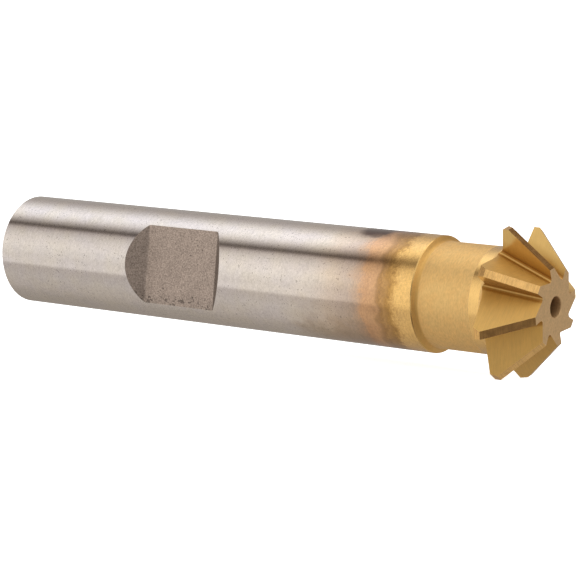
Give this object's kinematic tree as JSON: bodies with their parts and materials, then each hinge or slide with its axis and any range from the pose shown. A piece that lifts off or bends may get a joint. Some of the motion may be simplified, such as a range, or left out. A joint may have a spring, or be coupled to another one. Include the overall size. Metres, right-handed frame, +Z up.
{
  "type": "single angle milling cutter",
  "caption": "Single-angle milling cutter: gold-coated conical head with V gullets on a narrow neck, ground round shank with a set-screw flat, small centre hole in the nose.",
  "frame": {"origin": "centre of the shank's flat end face", "axes": "+X along the cutter's axis from the shank's end to the nose, +Z up from the surface it lies on, and the set-screw flat faces -Y"},
  "size_m": [0.054, 0.012, 0.012],
  "materials": {
    "coated_tool_steel": "Satin ground tool steel on the shank, turning to a satin gold coating on the last stretch of the shank, the neck and the head, with a bronze heat tint where the two meet."
  },
  "bodies": {
    "root": {"angle_cutter": "coated_tool_steel"}
  },
  "joints": []
}
